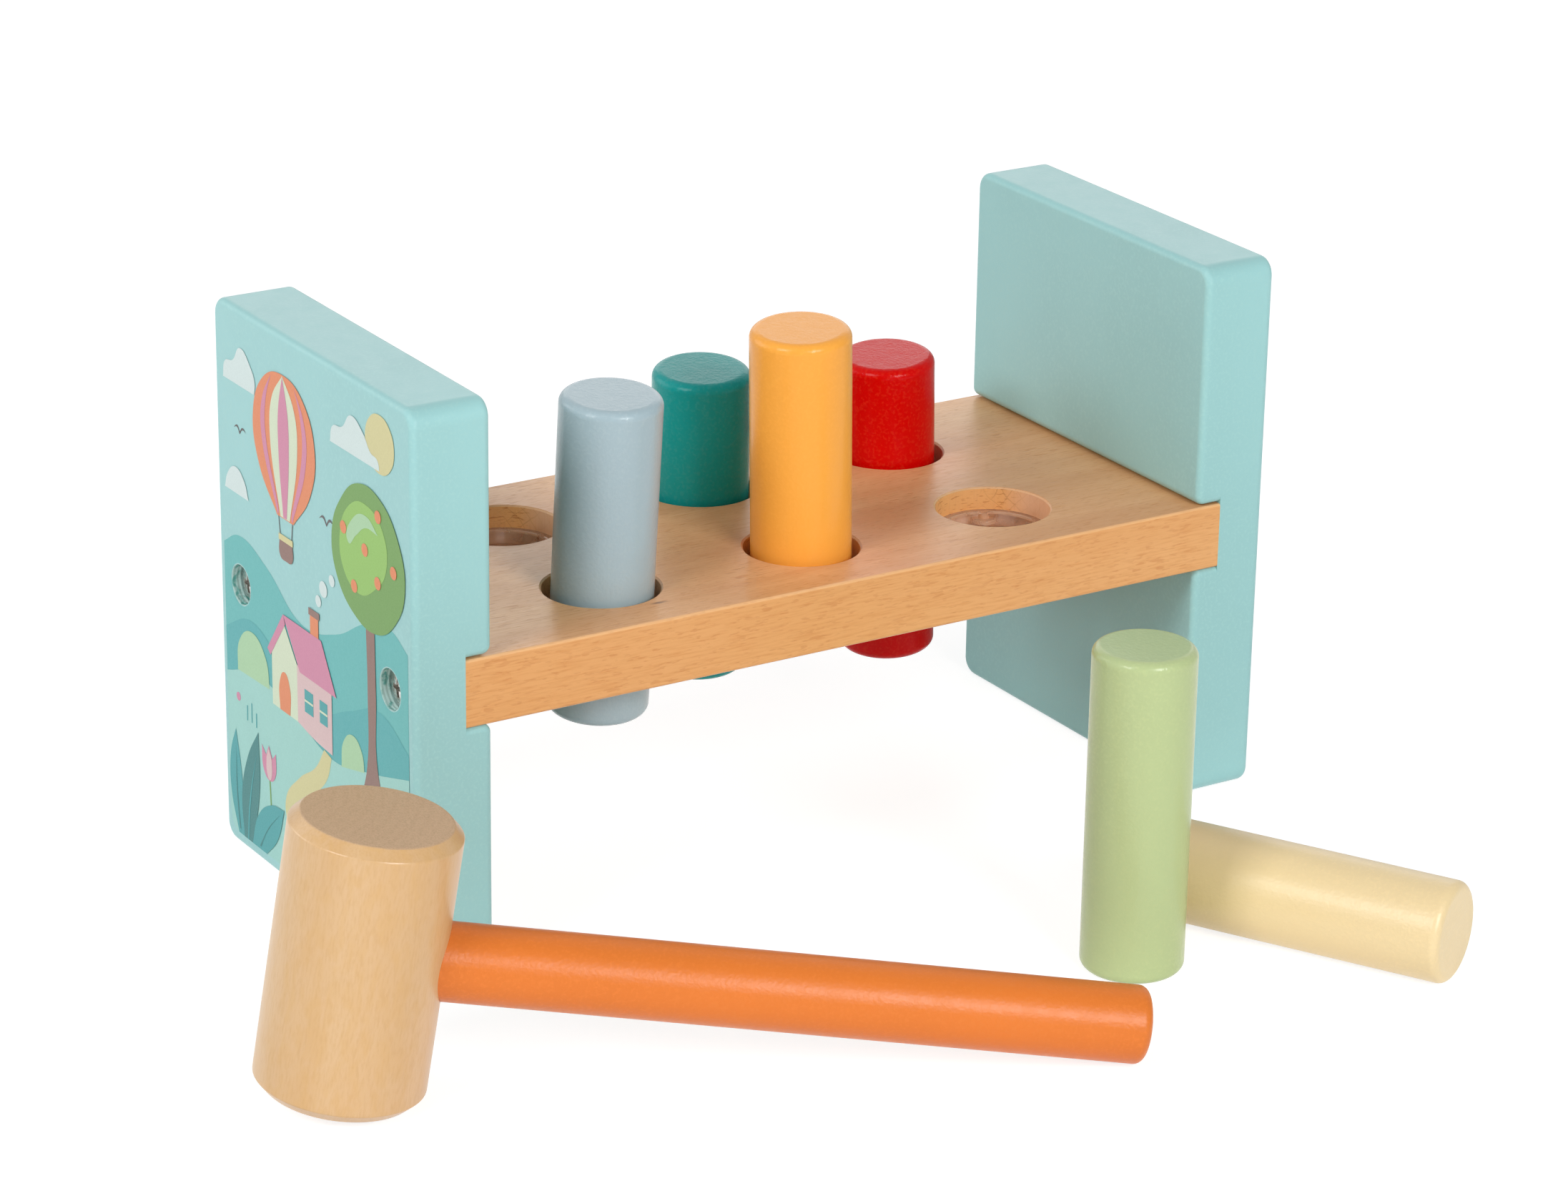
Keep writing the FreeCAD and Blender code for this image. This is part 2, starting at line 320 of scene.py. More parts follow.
beech = {
    "tones": {
        "light": (244, 191, 137),
        "dark": (223, 162, 110),
        "cloud": (224, 166, 122),
        "longFace": (234, 172, 104),
        "longFibre": (220, 152, 88),
        "fleck": (194, 114, 52),
        # painted highlight along the upper long edges
        "topEdge": (252, 206, 152),
        "knot": (110, 62, 48),
        "wall": (243, 180, 108),
        "wallEndGrain": (238, 190, 154),
        "vessel": (192, 110, 48),
        "toolMark": (184, 116, 60),
        "rim": (252, 212, 166),
    # painted highlight round the mouth of each hole
    },
    "noise": {
        "bands": ((6, 70, 90), 4, 0.6, 0.4),
        "cloud": ((22, 40, 40), 3),
        "fine": ((120, 2000, 2000), 3, 0.6),
        "dashes": ((420, 2300, 2300), 1),
        "strokes": ((300, 1500, 1500), 0.5),
        "patches": ((45, 160, 160), 2),
        "streak": ((3000, 3000, 160), 2),
        "vessels": ((430, 430, 2600), 1),
    },
    "levels": {
        "bands": (0.32, 0.68),
        "cloud": (0.35, 0.75, 0, 0.35),
        "fine": (0.46, 0.7, 0, 0.75),
        "dashes": (0.6, 0.7, 0, 0.8),
        "strokes": (0.63, 0.7),
        "patches": (0.4, 0.62),
        "streak": (0.5, 0.75, 0, 0.3),
        "vessels": (0.61, 0.67),
    },
    "strength": {  # how far each layer covers the wood below it
        "longFace": 0.7,
        "topEdge": 0.4,
        "wall": 0.7,
        "vessel": 0.55,
        "toolMark": 0.3,
        "rim": 0.4,
    },
    "fleckStrength": (0.42, 0.3),         # on the top, on the long faces
    "longFacing": (0.5, 0.9),             # how squarely a face looks along Y before it counts as a long one
    "roughness": (0.3, 0.8, 0.28, 0.46),  # span of the fine noise, and the roughness at its ends
    "wallRoughness": 0.6,
    "specular": 0.38,
    "depth": 0.00003,
    "dent": 0.8,                          # of flecks and tool marks, against the fine grain
    "halfWidth": 0.045,
    "halfThickness": 0.0075,
    "faceSkin": 0.001,                    # how far inside the long faces their tone still reaches
    "edgeSkin": 0.0005,                   # and how far inside its faces an edge does
    "knotPlace": (-0.0443, -0.0359),      # from the middle of the board
    "knotSize": (0.0026, 0.0007),
    "knotWander": 0.6,
    "knotLevels": (0.5, 1.3, 0.75, 0),
}
holes = {
    "pitchX": 0.05,
    "pitchY": 0.043,
    "reachX": 0.075,          # from the middle of the board to beyond the last hole
    "radius": 0.01275,
    "wallSkin": 0.00006,
    "rimWidth": 0.0003,
    "markSlopes": (-1.2, 1.1),
    "markPitch": 0.0042,
    "markWander": 0.02,
    "markLevels": (0.95, 0.995),
    "markedFrom": (0.3, 0.6),  # these four are spans between 0, along the grain, and 1, in end grain
    "markedTo": (0.8, 0.97, 1, 0.2),
    "endGrain": (0.7, 0.97, 0, 0.8),
    "vesselsTo": (0.75, 0.9, 1, 0),
}


def within(tree, value, limit):
    return mathOf(tree, "LESS_THAN", value, limit)


def beyond(tree, value, limit):
    return mathOf(tree, "GREATER_THAN", value, limit)


def veil(tree, mask, layer, tone):  # lays one of the beech's tones over what is below it
    return mixColour(tree, times(tree, mask, beech["strength"][layer]), tone, shade(*beech["tones"][layer]))


# The six holes are folded onto one, and diagonal tool marks lie where the drill cut across the grain.
def holeMasks(tree, spot, cloud):
    inputs = {0: spot["X"], 1: -holes["pitchX"] / 2, 2: holes["pitchX"] / 2}
    foldX = addNode(tree, "ShaderNodeMath", inputs, operation="WRAP").outputs[0]
    foldY = mathOf(tree, "SUBTRACT", absolute(tree, spot["Y"]), holes["pitchY"] / 2)
    radius = lengthOf(tree, foldX, foldY)
    drilled = within(tree, absolute(tree, spot["X"]), holes["reachX"])
    wall = times(tree, drilled, within(tree, radius, holes["radius"] + holes["wallSkin"]))
    aroundWall = mathOf(tree, "SUBTRACT", drilled, wall)
    # mask for a painted highlight round the mouth of each hole
    rim = times(tree, within(tree, radius, holes["radius"] + holes["rimWidth"]), aroundWall)
    across = mathOf(tree, "DIVIDE", absolute(tree, foldX), holes["radius"])
    around = times(tree, mathOf(tree, "ARCTAN2", foldY, foldX), holes["radius"])
    strokes = []
    for slope in holes["markSlopes"]:
        line = mathOf(tree, "ADD", times(tree, around, slope), spot["Z"])
        line = mathOf(tree, "ADD", line, times(tree, cloud, holes["markWander"]))
        strokes.append(rangeOf(tree, waveOf(tree, line, holes["markPitch"]), *holes["markLevels"]))
    marked = times(tree, wall, rangeOf(tree, across, *holes["markedFrom"]))
    marked = times(tree, marked, rangeOf(tree, across, *holes["markedTo"]))
    marks = times(tree, mathOf(tree, "MAXIMUM", *strokes), marked)
    return wall, rim, across, marks


def beechWood():
    material, tree, shader = newMaterial("steamedBeech", {"Specular IOR Level": beech["specular"]})
    place = piecePlace(tree, boardMiddle)
    spot = split(tree, place)
    tones, noise, masks = layersOf(tree, place, beech)

    # growth bands and fibre, warmer on the long faces
    tone = mixColour(tree, masks["bands"], tones["light"], tones["dark"])
    tone = mixColour(tree, masks["cloud"], tone, tones["cloud"])
    facing = split(tree, addNode(tree, "ShaderNodeTexCoord").outputs["Normal"])
    aside = absolute(tree, spot["Y"])
    longFace = rangeOf(tree, absolute(tree, facing["Y"]), *beech["longFacing"])
    longFace = times(tree, longFace, beyond(tree, aside, beech["halfWidth"] - beech["faceSkin"]))
    tone = veil(tree, longFace, "longFace", tone)
    fibre = mixColour(tree, longFace, tones["dark"], tones["longFibre"])
    tone = mixColour(tree, masks["fine"], tone, fibre)

    # ray flecks, short brown dashes along the board, fine ones everywhere and longer ones here and there
    fleck = times(tree, masks["strokes"], masks["patches"])
    fleck = mathOf(tree, "MAXIMUM", fleck, masks["dashes"])
    fleckStrength = rangeOf(tree, longFace, 0, 1, *beech["fleckStrength"])
    tone = mixColour(tree, times(tree, fleck, fleckStrength), tone, tones["fleck"])

    # a painted highlight along the upper long edges, and one pin knot
    topEdge = beyond(tree, spot["Z"], beech["halfThickness"] - beech["edgeSkin"])
    topEdge = times(tree, topEdge, beyond(tree, aside, beech["halfWidth"] - beech["edgeSkin"]))
    tone = veil(tree, topEdge, "topEdge", tone)
    offKnot = [
        mathOf(tree, "DIVIDE", mathOf(tree, "SUBTRACT", spot[axis], centre), size)
        for axis, centre, size in zip("XY", beech["knotPlace"], beech["knotSize"])
    ]
    offKnot = mathOf(tree, "ADD", lengthOf(tree, *offKnot), times(tree, noise["dashes"], beech["knotWander"]))
    tone = mixColour(tree, rangeOf(tree, offKnot, *beech["knotLevels"]), tone, tones["knot"])

    # hole walls, with end grain where the drill cut across
    wall, rim, across, marks = holeMasks(tree, spot, noise["cloud"])
    wallTone = mixColour(tree, beech["strength"]["wall"], tone, tones["wall"])
    wallTone = mixColour(tree, rangeOf(tree, across, *holes["endGrain"]), wallTone, tones["wallEndGrain"])
    wallTone = mixColour(tree, masks["streak"], wallTone, tones["dark"])
    vessels = times(tree, masks["vessels"], rangeOf(tree, across, *holes["vesselsTo"]))
    wallTone = veil(tree, vessels, "vessel", wallTone)
    wallTone = veil(tree, marks, "toolMark", wallTone)
    tone = mixColour(tree, wall, tone, wallTone)
    # painted highlight: a pale line round the mouth of each hole
    tone = veil(tree, rim, "rim", tone)

    rough = mixValue(tree, wall, rangeOf(tree, noise["fine"], *beech["roughness"]), beech["wallRoughness"])
    dents = mathOf(tree, "ADD", *(times(tree, mask, beech["dent"]) for mask in (fleck, marks)))
    height = mathOf(tree, "SUBTRACT", noise["fine"], dents)
    wire(tree, shader, tone, rough, bumpOf(tree, height, beech["depth"]))
    return material


dress("bench_board", beechWood())
print("board in beech")


# pale mallet head, a short billet turned from one piece

billet = {
    "tones": {
        "light": (222, 185, 139),
        "dark": (212, 169, 117),
        "mottle": (215, 169, 104),
        "fibre": (203, 155, 97),
        "end": (210, 175, 140),
        "arc": (170, 130, 92),
        "pore": (170, 134, 98),
    },
    "noise": {
        "bands": ((75, 75, 12), 3, 0.5, 0.4),
        "mottle": ((420, 420, 160), 3, 0.5, 0.6),
        "fine": ((2100, 2100, 420), 2, 0.6),
        "pores": ((3200, 3200, 3200), 2),
    },
    "levels": {
        "bands": (0.3, 0.75, 0, 0.8),
        "mottle": (0.42, 0.7, 0, 0.4),
        "fine": (0.45, 0.75, 0, 0.35),
        "pores": (0.42, 0.68, 0, 0.4),
    },
    "endFacing": (0.72, 0.97),   # how squarely a face looks along the billet before it counts as an end
    "pith": (-0.034, 0.012),     # off to one side, beyond the billet
    "arcPitch": 0.0024,
    "arcWander": 0.0018,
    "arcLevels": (-0.2, 1, 0, 0.07),
    "roughness": 0.28,
    "endRoughness": 0.6,
    "depth": 0.00002,
}


def billetWood():
    node = "mallet_head"
    material, tree, shader = newMaterial("paleTurnedWood", {})
    place = piecePlace(tree, middleOf(node), malletTurn)
    spot = split(tree, place)
    tones, noise, masks = layersOf(tree, place, billet)
    tone = mixColour(tree, masks["bands"], tones["light"], tones["dark"])
    tone = mixColour(tree, masks["mottle"], tone, tones["mottle"])
    tone = mixColour(tree, masks["fine"], tone, tones["fibre"])

    # end faces: browner, with fine pores and faint growth arcs about the pith
    axis = Euler(malletTurn).to_matrix() @ Vector((0, 0, 1))
    inputs = {0: addNode(tree, "ShaderNodeTexCoord").outputs["Normal"], 1: axis}
    facing = addNode(tree, "ShaderNodeVectorMath", inputs, operation="DOT_PRODUCT").outputs["Value"]
    endFace = rangeOf(tree, absolute(tree, facing), *billet["endFacing"])
    offPith = [mathOf(tree, "ADD", spot[axis], -centre) for axis, centre in zip("XY", billet["pith"])]
    fromPith = mathOf(tree, "ADD", lengthOf(tree, *offPith), times(tree, noise["mottle"], billet["arcWander"]))
    arcs = rangeOf(tree, waveOf(tree, fromPith, billet["arcPitch"]), *billet["arcLevels"])
    endTone = mixColour(tree, arcs, tones["end"], tones["arc"])
    endTone = mixColour(tree, masks["pores"], endTone, tones["pore"])
    tone = mixColour(tree, endFace, tone, endTone)
    rough = mixValue(tree, endFace, billet["roughness"], billet["endRoughness"])
    height = mathOf(tree, "ADD", noise["fine"], times(tree, noise["pores"], endFace))
    wire(tree, shader, tone, rough, bumpOf(tree, height, billet["depth"]))
    return material


dress("mallet_head", billetWood())
print("mallet head in pale wood")


# zinc-plated screws

screw = {
    "tones": {"bright": (236, 235, 232), "worn": (170, 160, 150)},
    "noise": {"wear": ((900, 900, 900), 3)},
    "levels": {"wear": (0.4, 0.7)},
    "roughness": (0.3, 0.7, 0.22, 0.42),  # span of the wear, and the roughness at its ends
    "depth": 0.00004,
}


def zincPlate():
    material, tree, shader = newMaterial("zincPlate", {"Metallic": 1})
    tones, noise, masks = layersOf(tree, piecePlace(tree, boardMiddle), screw)
    tone = mixColour(tree, masks["wear"], tones["bright"], tones["worn"])
    rough = rangeOf(tree, noise["wear"], *screw["roughness"])
    wire(tree, shader, tone, rough, bumpOf(tree, noise["wear"], screw["depth"]))
    return material


zinc = zincPlate()
for node in nodes:
    if node.startswith("screw_"):
        dress(node, zinc)
print("screws plated")


# clear soft plastic grip rings

grip = {
    "tones": {"clear": (250, 208, 174), "hazy": (232, 188, 152)},
    "noise": {"haze": ((500, 500, 500), 3)},
    "levels": {"haze": (0.35, 0.7)},
    "roughness": (0.3, 0.7, 0.05, 0.1),   # span of the haze, and the roughness at its ends
    "depth": 0.00003,
    "specular": 1,
    "cloudiness": 0.4,        # share of the light that the plastic holds back
    "outer": 0.01412,         # a little less than the groove, so that it doesn't cut the groove's facets
    "wall": 0.00087,
    "bore": 0.01125,
    "height": 0.0046,
    "lip": 0.0006,
    "ease": 0.0002,
    "steps": 96,
    "postRadius": 0.0012,
    "postFlare": 0.0005,      # how far the post widens towards its ends and at the pad
    "postInset": 0.00005,     # from the ring's upper and lower faces
    "postRises": 16,
    "postSteps": 40,
    "padRadius": 0.00295,
    "padHeight": 0.001,
    "padRounding": 0.00025,
    "padRoundingSteps": 3,
    "padSteps": 56,
    "nubs": 3,
    "firstNub": {"grip_ring_back_left": 14, "grip_ring_front_right": 64},   # degrees
}
sharpAngle = math.radians(35)
tiny = 1e-6   # metres, below which two places are one


def clearPlastic():
    constants = {"Alpha": grip["cloudiness"], "Specular IOR Level": grip["specular"]}
    material, tree, shader = newMaterial("clearSoftPlastic", constants)
    tones, noise, masks = layersOf(tree, piecePlace(tree, boardMiddle), grip)
    tone = mixColour(tree, masks["haze"], tones["clear"], tones["hazy"])
    rough = rangeOf(tree, noise["haze"], *grip["roughness"])
    wire(tree, shader, tone, rough, bumpOf(tree, noise["haze"], grip["depth"]))
    return material


plastic = clearPlastic()
for node in nodes:
    if node.startswith("grip_ring_"):
        dress(node, plastic)


def smooth(mesh):
    mesh.shade_smooth()
    mesh.set_sharp_from_angle(angle=sharpAngle)


def finish(name, bm, *materials):
    mesh = bpy.data.meshes.new(name)
    bm.to_mesh(mesh)
    bm.free()
    smooth(mesh)
    for material in materials:
        mesh.materials.append(material)
    piece = bpy.data.objects.new(name, mesh)
    scene.collection.objects.link(piece)
    return piece


def unite(piece, others):
    for other in others:
        union = piece.modifiers.new("union", "BOOLEAN")
        union.operation = "UNION"
        union.solver = "EXACT"
        union.object = other
    evaluated = piece.evaluated_get(bpy.context.evaluated_depsgraph_get())
    mesh = bpy.data.meshes.new_from_object(evaluated)
    piece.modifiers.clear()
    piece.data = mesh
    for other in others:
        bpy.data.objects.remove(other)
    smooth(mesh)


def turned(outline, steps, closed=False):  # an outline of radius and height, spun about Z
    bm = bmesh.new()
    corners = [bm.verts.new((radius, 0, height)) for radius, height in outline]
    followers = corners[1:] + corners[:1] if closed else corners[1:]
    sides = [bm.edges.new(pair) for pair in zip(corners, followers)]
    bmesh.ops.spin(
        bm, geom=corners + sides, cent=(0, 0, 0), axis=(0, 0, 1), angle=2 * math.pi, steps=steps, use_merge=True,
    )
    bmesh.ops.remove_doubles(bm, verts=bm.verts, dist=tiny)
    if not closed:
        bmesh.ops.holes_fill(bm, edges=[edge for edge in bm.edges if edge.is_boundary], sides=0)
    bmesh.ops.recalc_face_normals(bm, faces=bm.faces)
    return bm


def nubPost(spot):  # slim between the pad and each end
    half = grip["height"] / 2 - grip["postInset"]
    outline = []
    for step in range(grip["postRises"] + 1):
        rise = 2 * step / grip["postRises"] - 1
        swell = grip["postFlare"] * (1 - math.sqrt(1 - (2 * abs(rise) - 1) ** 2))
        outline.append((grip["postRadius"] + swell, rise * half))
    bm = turned(outline, grip["postSteps"])
    bmesh.ops.translate(bm, verts=bm.verts, vec=spot)
    return finish("nubPost", bm, plastic)


def nubPad(spot):
    bm = bmesh.new()
    bmesh.ops.create_cone(
        bm, cap_ends=True, segments=grip["padSteps"],
        radius1=grip["padRadius"], radius2=grip["padRadius"], depth=grip["padHeight"],
    )
    bmesh.ops.translate(bm, verts=bm.verts, vec=spot)
    rims = [edge for edge in bm.edges if abs(edge.verts[0].co.z - edge.verts[1].co.z) < tiny]
    bmesh.ops.bevel(
        bm, geom=rims, offset=grip["padRounding"], segments=grip["padRoundingSteps"],
        affect="EDGES", profile=0.5, material=-1,
    )
    return finish("nubPad", bm, plastic)


# In the two empty holes the ring lies relaxed, so its pads stand out whole into the bore.
def relaxedRing(node, firstNub):
    half = grip["height"] / 2
    shelf = half - grip["lip"]
    bore, outer, ease = grip["bore"], grip["outer"], grip["ease"]
    web = outer - grip["wall"]
    outline = [
        (bore + ease, -half), (outer, -half), (outer, half), (bore + ease, half), (bore, half - ease),
        (bore, shelf), (web, shelf), (web, -shelf), (bore, -shelf), (bore, ease - half),
    ]
    name = "gripRing" + node.replace("grip_ring", "").title().replace("_", "")
    ring = finish(name, turned(outline, grip["steps"], closed=True), plastic)
    nubs = []
    for step in range(grip["nubs"]):
        direction = math.radians(firstNub + 360 / grip["nubs"] * step)
        reach = bore + grip["postRadius"]
        spot = Vector((reach * math.cos(direction), reach * math.sin(direction), 0))
        nubs += [nubPost(spot), nubPad(spot)]
    unite(ring, nubs)
    ring.data.transform(Matrix.Translation(middleOf(node)))
    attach(ring, "bench")
    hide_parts(node)


for node, firstNub in grip["firstNub"].items():
    relaxedRing(node, firstNub)
print("grip rings made")


# printed picture on the left panel's outer face, in flat inks laid over each other
# across is measured to the right of the panel's middle as it is looked at, up from the floor, in mm

picture = {
    "step": 0.00003,       # thickness of one layer of ink
    "curveSteps": 8,
    "sinks": [(-34.5, 62.35), (34.5, 62.35)],
    "sinkRadius": 4.75,
    "sinkPoints": 12,
    "dotSteps": 32,
    "noise": {
        "grain": ((1500, 1500, 60), 1),
        "dotted": ((2600, 2600, 2600), 1),
    },
    "levels": {"dotted": (0.35, 0.7, 0, 0.5)},
    "roughness": (0.3, 0.7, 0.38, 0.47),   # span of the dotted noise, and the roughness at its ends
    "darkening": 0.93,
    "inks": {
        "farHillInk": (98, 184, 182),
        "hillInk": (80, 172, 174),
        "meadowInk": (158, 210, 202),
        "bushInk": (170, 209, 166),
        "sandInk": (212, 205, 150),
        "darkLeafInk": (48, 126, 125),
        "leafInk": (64, 160, 163),
        "grassInk": (112, 158, 80),
        "limeInk": (146, 193, 96),
        "orangeInk": (226, 136, 90),
        "pinkInk": (208, 134, 163),
        "blushInk": (218, 188, 188),
        "creamInk": (212, 224, 196),
        "barkInk": (140, 108, 98),
        "cloudInk": (212, 228, 226),
        "slateInk": (90, 84, 84),
    },
}

